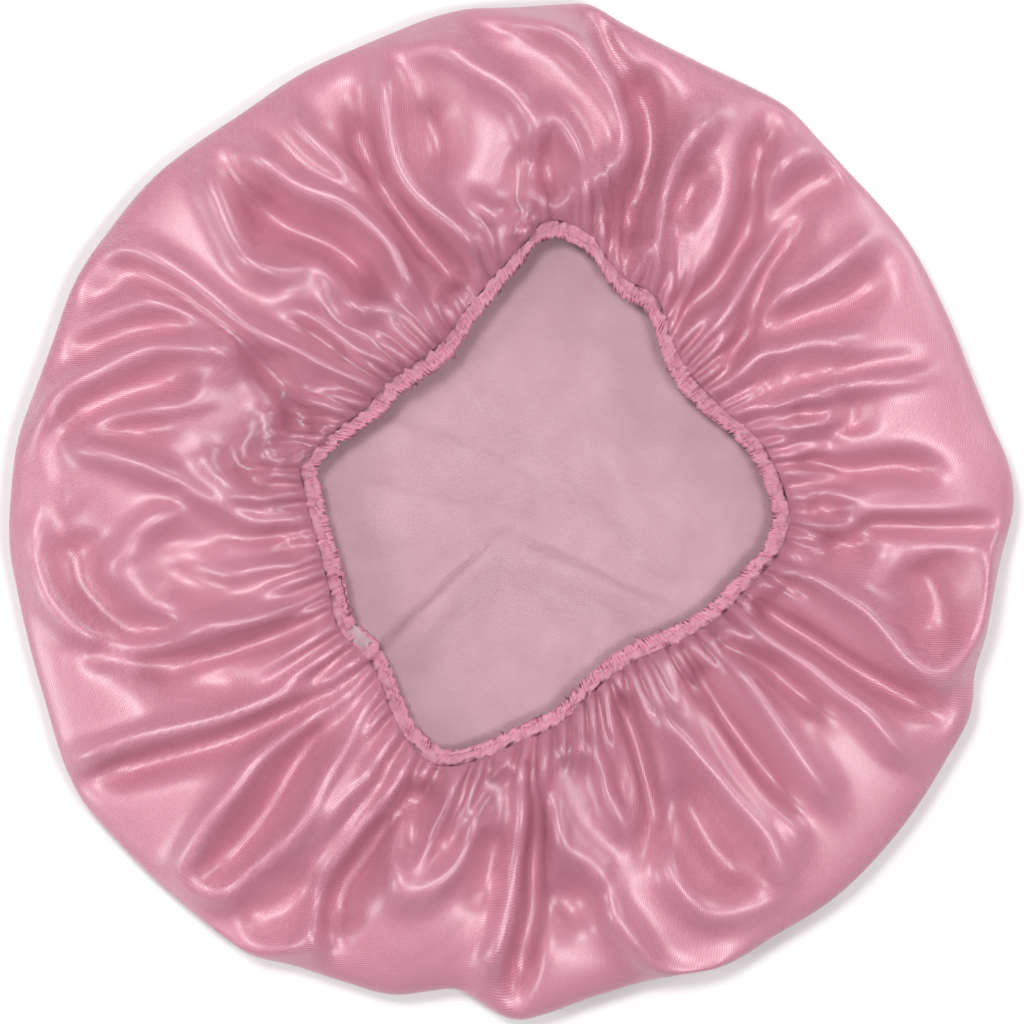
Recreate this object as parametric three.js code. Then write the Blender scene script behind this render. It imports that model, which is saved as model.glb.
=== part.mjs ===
// A gathered satin sleep bonnet, lying crown down with its elastic mouth open upwards.
// Millimetres, +Z up. The origin is the middle of the flat underside that it lies on.
// Angles run anticlockwise seen from above, from +X.
import * as THREE from 'three';

// Outline of the whole bonnet, seen from above
const RIM_RADIUS = 175;

// Mouth: the mean radius of the band's inner edge, and where its middle lies
const MOUTH_RADIUS = 75;
const MOUTH_SHIFT_X = 11.5;
const MOUTH_SHIFT_Y = 5.2;

// Satin wall, thick enough to stand for the cloth with its turnings
const CLOTH = 1.5;

// Heights above the surface that the bonnet lies on
const RIM_HEIGHT = 11;
const CREST_HEIGHT = 27;
const GULLY_HEIGHT = 14;
const MOUTH_HEIGHT = 10;
const MOUTH_RISE = 4;

// Gathered band on the edge of the mouth
const BAND_WIDTH = 6.5;
const BAND_THICKNESS = 2.6;
const SEAM_GAP = 0.3;

// Cut end of the elastic, a flat tab on the band
const END_ANGLE = 217;
const END_LENGTH = 9;
const END_WIDTH = 5;
const END_THICKNESS = 1.2;

// Rim outline: angle in degrees, reach as a share of RIM_RADIUS
const RIM_OUTLINE = [
  { at: 0, reach: 1.001 }, { at: 7, reach: 0.992 }, { at: 15, reach: 0.962 },
  { at: 30, reach: 0.954 }, { at: 45, reach: 0.958 }, { at: 56, reach: 0.98 },
  { at: 65, reach: 0.972 }, { at: 75, reach: 0.992 }, { at: 81.5, reach: 1.028 },
  { at: 88, reach: 1.012 }, { at: 100, reach: 1.0 }, { at: 108, reach: 0.98 },
  { at: 118, reach: 0.972 }, { at: 127, reach: 0.967 }, { at: 138, reach: 0.98 },
  { at: 152, reach: 0.989 }, { at: 160, reach: 0.98 }, { at: 172, reach: 0.998 },
  { at: 184, reach: 1.008 }, { at: 193, reach: 1.001 }, { at: 203, reach: 1.009 },
  { at: 213, reach: 1.035 }, { at: 227, reach: 1.025 }, { at: 240, reach: 1.026 },
  { at: 247, reach: 1.0 }, { at: 256, reach: 0.993 }, { at: 263, reach: 0.963 },
  { at: 271, reach: 1.016 }, { at: 278, reach: 0.988 }, { at: 286, reach: 0.976 },
  { at: 296, reach: 1.0 }, { at: 308, reach: 1.006 }, { at: 322, reach: 1.004 },
  { at: 336, reach: 0.997 }, { at: 343, reach: 0.98 }, { at: 354, reach: 0.98 },
];

// Mouth outline: angle in degrees, reach of the band's inner edge as a share of MOUTH_RADIUS,
// and lift as a share of MOUTH_RISE
const MOUTH_OUTLINE = [
  { at: 0, reach: 1.055, lift: 0.1 }, { at: 12, reach: 0.975, lift: 0.3 },
  { at: 29, reach: 0.839, lift: 0.5 }, { at: 45, reach: 0.829, lift: 0.5 },
  { at: 60, reach: 0.98, lift: 0.5 }, { at: 75, reach: 1.09, lift: 0.6 },
  { at: 87, reach: 1.202, lift: 0.7 }, { at: 100, reach: 1.02, lift: 0.8 },
  { at: 113, reach: 0.87, lift: 1 }, { at: 128, reach: 0.79, lift: 1 },
  { at: 143, reach: 0.826, lift: 0.9 }, { at: 155, reach: 0.87, lift: 0.8 },
  { at: 166, reach: 1.0, lift: 0.6 }, { at: 175, reach: 1.062, lift: 0.4 },
  { at: 190, reach: 1.01, lift: 0.3 }, { at: 204, reach: 1.03, lift: 0.3 },
  { at: 217, reach: 1.045, lift: 0.2 }, { at: 232, reach: 1.13, lift: 0 },
  { at: 247, reach: 1.26, lift: 0 }, { at: 259, reach: 1.14, lift: 0 },
  { at: 273, reach: 0.99, lift: 0.2 }, { at: 287, reach: 0.84, lift: 0.3 },
  { at: 302, reach: 0.8, lift: 0.3 }, { at: 315, reach: 0.855, lift: 0.2 },
  { at: 330, reach: 0.93, lift: 0 }, { at: 346, reach: 1.05, lift: 0 },
];

// Gathered folds, one crest each: its angle at the mouth and at the rim, and how high it stands
// near the mouth and near the rim, as shares from gully (0) to full crest (1).
// dip is how far the gully after it sinks towards GULLY_HEIGHT: 1 is all the way.
const FOLDS = [
  { mouth: 0, rim: 2, near: 0.7, far: 0.8, dip: 0.8 },
  { mouth: 10, rim: 12, near: 0.6, far: 0.9, dip: 0.6 },
  { mouth: 19.5, rim: 19.5, near: 0.9, far: 0.6, dip: 0.8 },
  { mouth: 28, rim: 26.5, near: 0.8, far: 0.7, dip: 0.9 },
  { mouth: 36, rim: 38.5, near: 0.5, far: 0.8, dip: 1 },
  { mouth: 44, rim: 46, near: 1, far: 0.6, dip: 0.7 },
  { mouth: 51, rim: 53, near: 0.8, far: 0.7, dip: 0.9 },
  { mouth: 58, rim: 61, near: 0.8, far: 0.9, dip: 0.6 },
  { mouth: 66, rim: 69, near: 0.9, far: 0.5, dip: 1 },
  { mouth: 78, rim: 79.5, near: 1, far: 1, dip: 0.7 },
  { mouth: 86, rim: 88, near: 0.8, far: 0.9, dip: 0.7 },
  { mouth: 94, rim: 98, near: 0.8, far: 1, dip: 0.6 },
  { mouth: 105, rim: 108, near: 0.9, far: 0.7, dip: 0.9 },
  { mouth: 115, rim: 117.5, near: 0.7, far: 0.8, dip: 0.8 },
  { mouth: 122, rim: 125.5, near: 0.9, far: 0.7, dip: 1 },
  { mouth: 132, rim: 133.5, near: 0.9, far: 0.8, dip: 0.7 },
  { mouth: 140, rim: 140.5, near: 0.7, far: 0.4, dip: 0.8 },
  { mouth: 147.5, rim: 147.5, near: 1, far: 0.9, dip: 1 },
  { mouth: 155, rim: 156, near: 0.7, far: 0.8, dip: 0.9 },
  { mouth: 163, rim: 164, near: 0.8, far: 0.8, dip: 0.8 },
  { mouth: 171, rim: 174, near: 0.8, far: 0.7, dip: 1 },
  { mouth: 182, rim: 184, near: 0.7, far: 0.7, dip: 0.8 },
  { mouth: 193, rim: 191, near: 0.8, far: 0.8, dip: 0.6 },
  { mouth: 203.5, rim: 199.5, near: 0.9, far: 0.6, dip: 0.9 },
  { mouth: 213, rim: 209, near: 0.9, far: 1, dip: 1 },
  { mouth: 225, rim: 224, near: 1, far: 0.9, dip: 0.9 },
  { mouth: 235, rim: 234, near: 0.8, far: 0.8, dip: 0.8 },
  { mouth: 245, rim: 245, near: 0.9, far: 0.7, dip: 1 },
  { mouth: 254, rim: 256, near: 0.7, far: 0.6, dip: 0.7 },
  { mouth: 265, rim: 266.5, near: 0.9, far: 0.7, dip: 1 },
  { mouth: 272, rim: 276.5, near: 0.8, far: 0.9, dip: 0.7 },
  { mouth: 282, rim: 287, near: 0.9, far: 0.8, dip: 0.9 },
  { mouth: 291, rim: 296, near: 0.7, far: 0.9, dip: 0.8 },
  { mouth: 300, rim: 305.5, near: 0.9, far: 0.8, dip: 1 },
  { mouth: 309, rim: 313, near: 0.8, far: 0.6, dip: 0.8 },
  { mouth: 318, rim: 320, near: 0.9, far: 0.8, dip: 0.9 },
  { mouth: 325.5, rim: 328, near: 0.8, far: 0.8, dip: 1 },
  { mouth: 333, rim: 335, near: 0.7, far: 0.5, dip: 0.9 },
  { mouth: 342, rim: 343, near: 1, far: 0.8, dip: 0.6 },
  { mouth: 352, rim: 352, near: 0.7, far: 0.9, dip: 0.8 },
];

// Underside, from its middle to the rim: out is a share of the rim's reach, up a share of
// RIM_HEIGHT, and facing the direction of the outside in degrees above the horizontal
const UNDERSIDE = [
  { out: 0.45, up: 0, facing: -90 },
  { out: 0.8, up: 0, facing: -90 },
  { out: 0.91, up: 0, facing: -90 },
  { out: 0.965, up: 0.2, facing: -60 },
  { out: 0.992, up: 0.6, facing: -25 },
];

// Gathered top, from the rim to the mouth: in is a share of the way, crest and gully how far
// a full crest and a full gully have risen from the edge's own height towards theirs
const TOP = [
  { in: 0, crest: 0, gully: 0, facing: 5 },
  { in: 0.025, crest: 0.22, gully: 0.1, facing: 45 },
  { in: 0.09, crest: 0.5, gully: 0.25, facing: 80 },
  { in: 0.2, crest: 0.75, gully: 0.45, facing: 90 },
  { in: 0.34, crest: 0.93, gully: 0.75, facing: 90 },
  { in: 0.5, crest: 1, gully: 1, facing: 90 },
  { in: 0.66, crest: 0.95, gully: 1, facing: 90 },
  { in: 0.79, crest: 0.8, gully: 0.8, facing: 90 },
  { in: 0.89, crest: 0.56, gully: 0.45, facing: 90 },
  { in: 0.96, crest: 0.26, gully: 0.15, facing: 90 },
  { in: 1, crest: 0, gully: 0, facing: 90 },
];

const satin = new THREE.MeshStandardMaterial({ color: 0xd9829f, roughness: 0.35, metalness: 0 });
const gathered = new THREE.MeshStandardMaterial({ color: 0xcf7f98, roughness: 0.7, metalness: 0 });
const elastic = new THREE.MeshStandardMaterial({ color: 0xdcd2d0, roughness: 0.85, metalness: 0 });

const FULL_TURN = 360;
const radians = THREE.MathUtils.degToRad;
const mix = THREE.MathUtils.lerp;

// Value of a closed table at an angle, on a smooth curve through its rows
function around(table, key, angle) {
  const turned = ((angle - table[0].at) % FULL_TURN + FULL_TURN) % FULL_TURN + table[0].at;
  const count = table.length;
  let row = count - 1;
  while (table[row].at > turned) row -= 1;
  const pick = (step) => {
    const index = row + step;
    const turns = Math.floor(index / count);
    const found = table[index - turns * count];
    return { at: found.at + turns * FULL_TURN, value: found[key] };
  };
  const [before, start, end, after] = [pick(-1), pick(0), pick(1), pick(2)];
  const span = end.at - start.at;
  const startSlope = (end.value - before.value) / (end.at - before.at);
  const endSlope = (after.value - start.value) / (after.at - start.at);
  const s = (turned - start.at) / span;
  const s2 = s * s;
  const s3 = s2 * s;
  return (2 * s3 - 3 * s2 + 1) * start.value + (s3 - 2 * s2 + s) * span * startSlope
    + (3 * s2 - 2 * s3) * end.value + (s3 - s2) * span * endSlope;
}

// Plan point on the rim, with its reach scaled by share
function rimPoint(angle, share) {
  const reach = RIM_RADIUS * around(RIM_OUTLINE, 'reach', angle) * share;
  return new THREE.Vector2(reach * Math.cos(radians(angle)), reach * Math.sin(radians(angle)));
}

// Plan point at a distance outside the band's inner edge
function mouthPoint(angle, outside) {
  const reach = MOUTH_RADIUS * around(MOUTH_OUTLINE, 'reach', angle) + outside;
  return new THREE.Vector2(
    MOUTH_SHIFT_X + reach * Math.cos(radians(angle)),
    MOUTH_SHIFT_Y + reach * Math.sin(radians(angle)),
  );
}

// Height of the middle of the mouth's edge
function mouthLevel(angle) {
  return MOUTH_HEIGHT + MOUTH_RISE * around(MOUTH_OUTLINE, 'lift', angle);
}

// Columns of the crown: a crest, a shoulder, the gully after it and the next shoulder
function makeColumns() {
  const columns = [];
  FOLDS.forEach((fold, index) => {
    const wraps = index === FOLDS.length - 1;
    const next = FOLDS[(index + 1) % FOLDS.length];
    const turn = wraps ? FULL_TURN : 0;
    const gully = {
      mouth: (fold.mouth + next.mouth + turn) / 2,
      rim: (fold.rim + next.rim + turn) / 2,
      near: 0,
      far: 0,
      dip: fold.dip,
    };
    const crest = { ...fold, dip: 0 };
    const nextCrest = {
      mouth: next.mouth + turn, rim: next.rim + turn, near: next.near, far: next.far, dip: 0,
    };
    const blend = (a, b) => Object.fromEntries(
      Object.keys(gully).map((key) => [key, (a[key] + b[key]) / 2]),
    );
    columns.push(crest, blend(crest, gully), gully, blend(gully, nextCrest));
  });
  return columns;
}

// Outside point of one column at one row of the top
function topPoint(column, row) {
  const angle = mix(column.rim, column.mouth, row.in);
  const seam = mouthPoint(angle, BAND_WIDTH + SEAM_GAP);
  const plan = rimPoint(angle, 1).lerp(seam, row.in);
  const edge = mix(RIM_HEIGHT, mouthLevel(angle) + CLOTH / 2, row.in);
  const full = mix(edge, CREST_HEIGHT, row.crest);
  const low = mix(edge, GULLY_HEIGHT, row.gully);
  const middle = (full + low) / 2;
  const stand = mix(column.far, column.near, row.in);
  const height = mix(mix(middle, full, stand), low, column.dip);
  return new THREE.Vector3(plan.x, plan.y, height);
}

// Outside points of the crown, row by row from the underside to the mouth, and each row's facing
function crownRows(columns) {
  const under = UNDERSIDE.map((row) => ({
    facing: row.facing,
    points: columns.map((column) => {
      const plan = rimPoint(column.rim, row.out);
      return new THREE.Vector3(plan.x, plan.y, RIM_HEIGHT * row.up);
    }),
  }));
  const top = TOP.map((row) => ({
    facing: row.facing,
    points: columns.map((column) => topPoint(column, row)),
  }));
  return [...under, ...top];
}

// Inside of a row: each point moved in by the cloth's thickness, more where a fold is steep
function lining(row, columns) {
  const count = columns.length;
  const facing = radians(row.facing);
  return row.points.map((point, index) => {
    const before = row.points[(index + count - 1) % count];
    const after = row.points[(index + 1) % count];
    const across = Math.hypot(after.x - before.x, after.y - before.y);
    const slope = Math.atan2(Math.abs(after.z - before.z), across);
    const depth = CLOTH / Math.cos(slope * Math.sin(Math.abs(facing)));
    const out = radians(columns[index].rim);
    const side = depth * Math.cos(facing);
    return new THREE.Vector3(
      point.x - side * Math.cos(out),
      point.y - side * Math.sin(out),
      point.z - depth * Math.sin(facing),
    );
  });
}

// Closed shell: the outside rows from the middle of the underside to the mouth's edge, and the
// inside rows back to the middle
function crownGeometry() {
  const columns = makeColumns();
  const rows = crownRows(columns);
  const inside = rows.map((row) => lining(row, columns)).reverse();
  const rings = [...rows.map((row) => row.points), ...inside];
  const poles = [new THREE.Vector3(0, 0, 0), new THREE.Vector3(0, 0, CLOTH)];
  return ringSolid(rings, poles);
}

// Solid through rings of points, each closed on itself, with a pole point at both ends.
// The rings run anticlockwise seen from above, and start at the lower pole's side.
function ringSolid(rings, poles) {
  const count = rings[0].length;
  const last = rings.length - 1;
  const points = [...rings.flat(), ...poles];
  const faces = [];
  for (let ring = 0; ring < last; ring += 1) {
    for (let step = 0; step < count; step += 1) {
      const a = ring * count + step;
      const b = ring * count + (step + 1) % count;
      faces.push(a, b, b + count, a, b + count, a + count);
    }
  }
  const [lowPole, highPole] = [rings.length * count, rings.length * count + 1];
  for (let step = 0; step < count; step += 1) {
    const next = (step + 1) % count;
    faces.push(lowPole, next, step);
    faces.push(highPole, last * count + step, last * count + next);
  }
  return surface(points, faces);
}

// Ring that closes on itself in both directions, through sections of equal length
function loopSolid(sections) {
  const count = sections.length;
  const sides = sections[0].length;
  const faces = [];
  for (let section = 0; section < count; section += 1) {
    const next = (section + 1) % count;
    for (let side = 0; side < sides; side += 1) {
      const beside = (side + 1) % sides;
      const a = section * sides + side;
      const b = section * sides + beside;
      const c = next * sides + beside;
      const d = next * sides + side;
      faces.push(a, c, b, a, d, c);
    }
  }
  return surface(sections.flat(), faces);
}

function surface(points, faces) {
  const geometry = new THREE.BufferGeometry();
  const numbers = points.flatMap((point) => [point.x, point.y, point.z]);
  geometry.setAttribute('position', new THREE.Float32BufferAttribute(numbers, 3));
  geometry.setIndex(faces);
  geometry.computeVertexNormals();
  return geometry;
}

// Section of the band: out is a share of BAND_WIDTH from its inner edge, up a share of half
// BAND_THICKNESS from its middle
const BAND_SECTION = [
  { out: 1, up: -1 }, { out: 1, up: 1 }, { out: 0.2, up: 1 }, { out: 0, up: 0 }, { out: 0.2, up: -1 },
];

// Band with a section at each of the crown's columns, so that its back follows the crown's edge
function bandGeometry() {
  const sections = makeColumns().map((column) => {
    const level = mouthLevel(column.mouth);
    return BAND_SECTION.map((corner) => {
      const plan = mouthPoint(column.mouth, corner.out * BAND_WIDTH);
      return new THREE.Vector3(plan.x, plan.y, level + corner.up * BAND_THICKNESS / 2);
    });
  });
  return loopSolid(sections);
}

// Flat tab with one rounded end, lying on the band along its inner edge
function endGeometry() {
  const half = END_WIDTH / 2;
  const outline = new THREE.Shape();
  outline.moveTo(0, -half);
  outline.lineTo(END_LENGTH - half, -half);
  outline.absarc(END_LENGTH - half, 0, half, -Math.PI / 2, Math.PI / 2, false);
  outline.lineTo(0, half);
  outline.closePath();
  const geometry = new THREE.ExtrudeGeometry(outline, {
    depth: END_THICKNESS, bevelEnabled: false, curveSegments: 5,
  });
  geometry.translate(-END_LENGTH / 2, 0, 0);
  return geometry;
}

function named(name, geometry, material) {
  const mesh = new THREE.Mesh(geometry, material);
  mesh.name = name;
  return mesh;
}

// Puts the tab on the highest part of the band that lies under it
function placeEnd(mesh) {
  const spread = THREE.MathUtils.radToDeg(END_LENGTH / 2 / MOUTH_RADIUS);
  const before = mouthPoint(END_ANGLE - spread, BAND_WIDTH / 2);
  const after = mouthPoint(END_ANGLE + spread, BAND_WIDTH / 2);
  const middle = mouthPoint(END_ANGLE, BAND_WIDTH / 2);
  const level = Math.max(mouthLevel(END_ANGLE - spread), mouthLevel(END_ANGLE + spread));
  mesh.rotation.z = Math.atan2(after.y - before.y, after.x - before.x);
  mesh.position.set(middle.x, middle.y, level + BAND_THICKNESS / 2 + SEAM_GAP);
}

const bonnet = new THREE.Group();
bonnet.add(named('crown', crownGeometry(), satin));
bonnet.add(named('elastic_band', bandGeometry(), gathered));
const end = named('elastic_end', endGeometry(), elastic);
placeEnd(end);
bonnet.add(end);

export default bonnet;
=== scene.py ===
"""A pink satin sleep bonnet, lying crown down on a pale table and seen from straight above.

Metres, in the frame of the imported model: +Z up, the origin in the middle of the flat underside.
Angles are in degrees, anticlockwise seen from above. On the gathered top, `u` runs from 0 at the
band to 1 at the rim.
"""
import math

import bpy
import numpy as np
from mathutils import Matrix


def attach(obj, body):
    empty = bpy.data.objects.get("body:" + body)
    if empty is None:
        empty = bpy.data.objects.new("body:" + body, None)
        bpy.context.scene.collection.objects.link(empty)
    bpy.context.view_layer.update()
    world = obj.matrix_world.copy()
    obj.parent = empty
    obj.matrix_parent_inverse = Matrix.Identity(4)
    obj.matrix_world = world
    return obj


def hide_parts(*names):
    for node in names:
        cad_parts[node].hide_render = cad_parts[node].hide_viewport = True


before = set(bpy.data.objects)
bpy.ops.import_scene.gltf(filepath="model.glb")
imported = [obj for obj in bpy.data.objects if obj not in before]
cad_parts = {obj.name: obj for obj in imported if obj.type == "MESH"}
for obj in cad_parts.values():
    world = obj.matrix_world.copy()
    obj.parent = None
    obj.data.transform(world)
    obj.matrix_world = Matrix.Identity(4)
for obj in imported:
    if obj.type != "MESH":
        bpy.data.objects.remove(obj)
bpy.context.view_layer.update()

MM = 0.001
FULL_TURN = 360.0

# Driving sizes
RIM_RADIUS = 175 * MM
MOUTH_RADIUS = 75 * MM
MOUTH_MIDDLE = np.array([11.5 * MM, 5.2 * MM])
RIM_HEIGHT = 11 * MM
CREST_HEIGHT = 21 * MM
MOUTH_HEIGHT = 10 * MM
MOUTH_RISE = 4 * MM
BAND_WIDTH = 6.5 * MM
BAND_THICKNESS = 2.4 * MM
CLOTH = 0.5 * MM
END_ANGLE = 217
END_LENGTH = 9 * MM
END_WIDTH = 5 * MM
END_THICKNESS = 1.2 * MM
# Loose thread: its two ends, in millimetres
THREAD_NUB = ((-59.9, -22.8, 12.4), (-57.0, -34.0, 12.4))

# How far the band laps over the cloth's edge, and the least height of the cloth at the rim
BAND_OVERLAP = 1.0 * MM
RIM_LEAST = 4 * MM

# Twill: spacing of its lines outside and on the back, and the direction across them
TWILL_OUTSIDE = 0.9 * MM
TWILL_BACK = 0.73 * MM
TWILL_ACROSS = math.radians(50)

# Camera height, and the width that the picture shows at the rim: 1024 pixels of 0.35 mm
CAMERA_HEIGHT = 1.3
FRAME_WIDTH = 1024 * 0.35 * MM

# Lamps, all squares of one size: name, place in metres and power in watts
LAMP_SIZE = 0.3
LAMPS = (
    ("high_left", (-0.3, 0.38, 1.35), 9.2),
    ("high_right", (0.42, -0.22, 1.35), 7.5),
    ("low_left", (-1.1, -0.3, 0.7), 5),
    ("low_right", (1.0, 0.8, 0.7), 5),
)
ROOM_LIGHT = 0.22

# Floor: half its width, and its level
FLOOR_HALF = 3.0
FLOOR_LEVEL = -0.3 * MM

# Mesh steps of the cloth; rows of the panel and of the turn as shares of the rim's reach
COLUMNS = 576
PANEL_ROWS = 24
PANEL_START, PANEL_SPAN, PANEL_SPACING = 0.02, 0.88, 1.6
TURN_ROWS = 7
TURN_START, TURN_REACH = 0.93, 0.07
TOP_ROWS = 52

# Rim outline: angle, reach as a share of RIM_RADIUS
RIM_OUTLINE = (
    (0, 1.002), (3, 1.004), (7, 0.992), (10, 0.976), (15, 0.962), (25, 0.956), (35, 0.96),
    (45, 0.958), (50, 0.964), (56, 0.98), (60, 0.976), (65, 0.973), (70, 0.978), (75, 0.992),
    (78, 1.006), (81.5, 1.028), (84, 1.022), (88, 1.012), (91, 1.008), (95, 1.01), (100, 1.0),
    (104, 0.988), (108, 0.98), (115, 0.974), (125, 0.964), (130, 0.97), (136, 0.98),
    (145, 0.984), (152, 0.989), (160, 0.98), (166, 0.986), (171, 0.998), (178, 1.003),
    (184, 1.008), (190, 1.002), (196, 1.002), (203, 1.01), (208, 1.024), (213, 1.035),
    (220, 1.028), (227, 1.025), (235, 1.024), (240, 1.026), (244, 1.008), (250, 0.998),
    (257, 0.992), (260, 0.974), (264, 0.962), (267, 0.99), (270, 1.016), (274, 1.006),
    (278, 0.988), (285, 0.976), (290, 0.982), (295, 1.0), (302, 0.998), (309, 1.006),
    (320, 1.004), (330, 1.0), (337.5, 0.998), (340, 0.983), (345, 0.979), (354, 0.98),
    (357, 0.99),
)

# Mouth: angle, reach of the band's inner edge as a share of MOUTH_RADIUS, lift as a share of
# MOUTH_RISE
MOUTH_OUTLINE = (
    (0, 1.053, 0.1), (12, 0.978, 0.3), (29, 0.839, 0.5), (45, 0.829, 0.5), (51, 0.87, 0.5),
    (61, 0.992, 0.5), (70.5, 1.015, 0.6), (82, 1.182, 0.7), (90, 1.207, 0.8), (97, 1.072, 0.8),
    (104, 0.968, 0.8), (111, 0.893, 1), (121, 0.803, 1), (133, 0.792, 1), (143, 0.826, 0.9),
    (155, 0.869, 0.8), (166, 0.996, 0.6), (173, 1.072, 0.4), (178.5, 1.047, 0.4),
    (190.5, 1.01, 0.3), (202, 1.014, 0.3), (213, 1.065, 0.2), (220, 1.045, 0.2),
    (228.5, 1.081, 0), (236, 1.175, 0), (243, 1.253, 0), (249, 1.267, 0), (255, 1.199, 0),
    (263, 1.085, 0), (273, 0.991, 0.2), (283, 0.869, 0.3), (301, 0.799, 0.3),
    (314, 0.85, 0.2), (326.5, 0.918, 0), (339.5, 0.989, 0), (348, 1.057, 0), (355, 1.073, 0),
)

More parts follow.
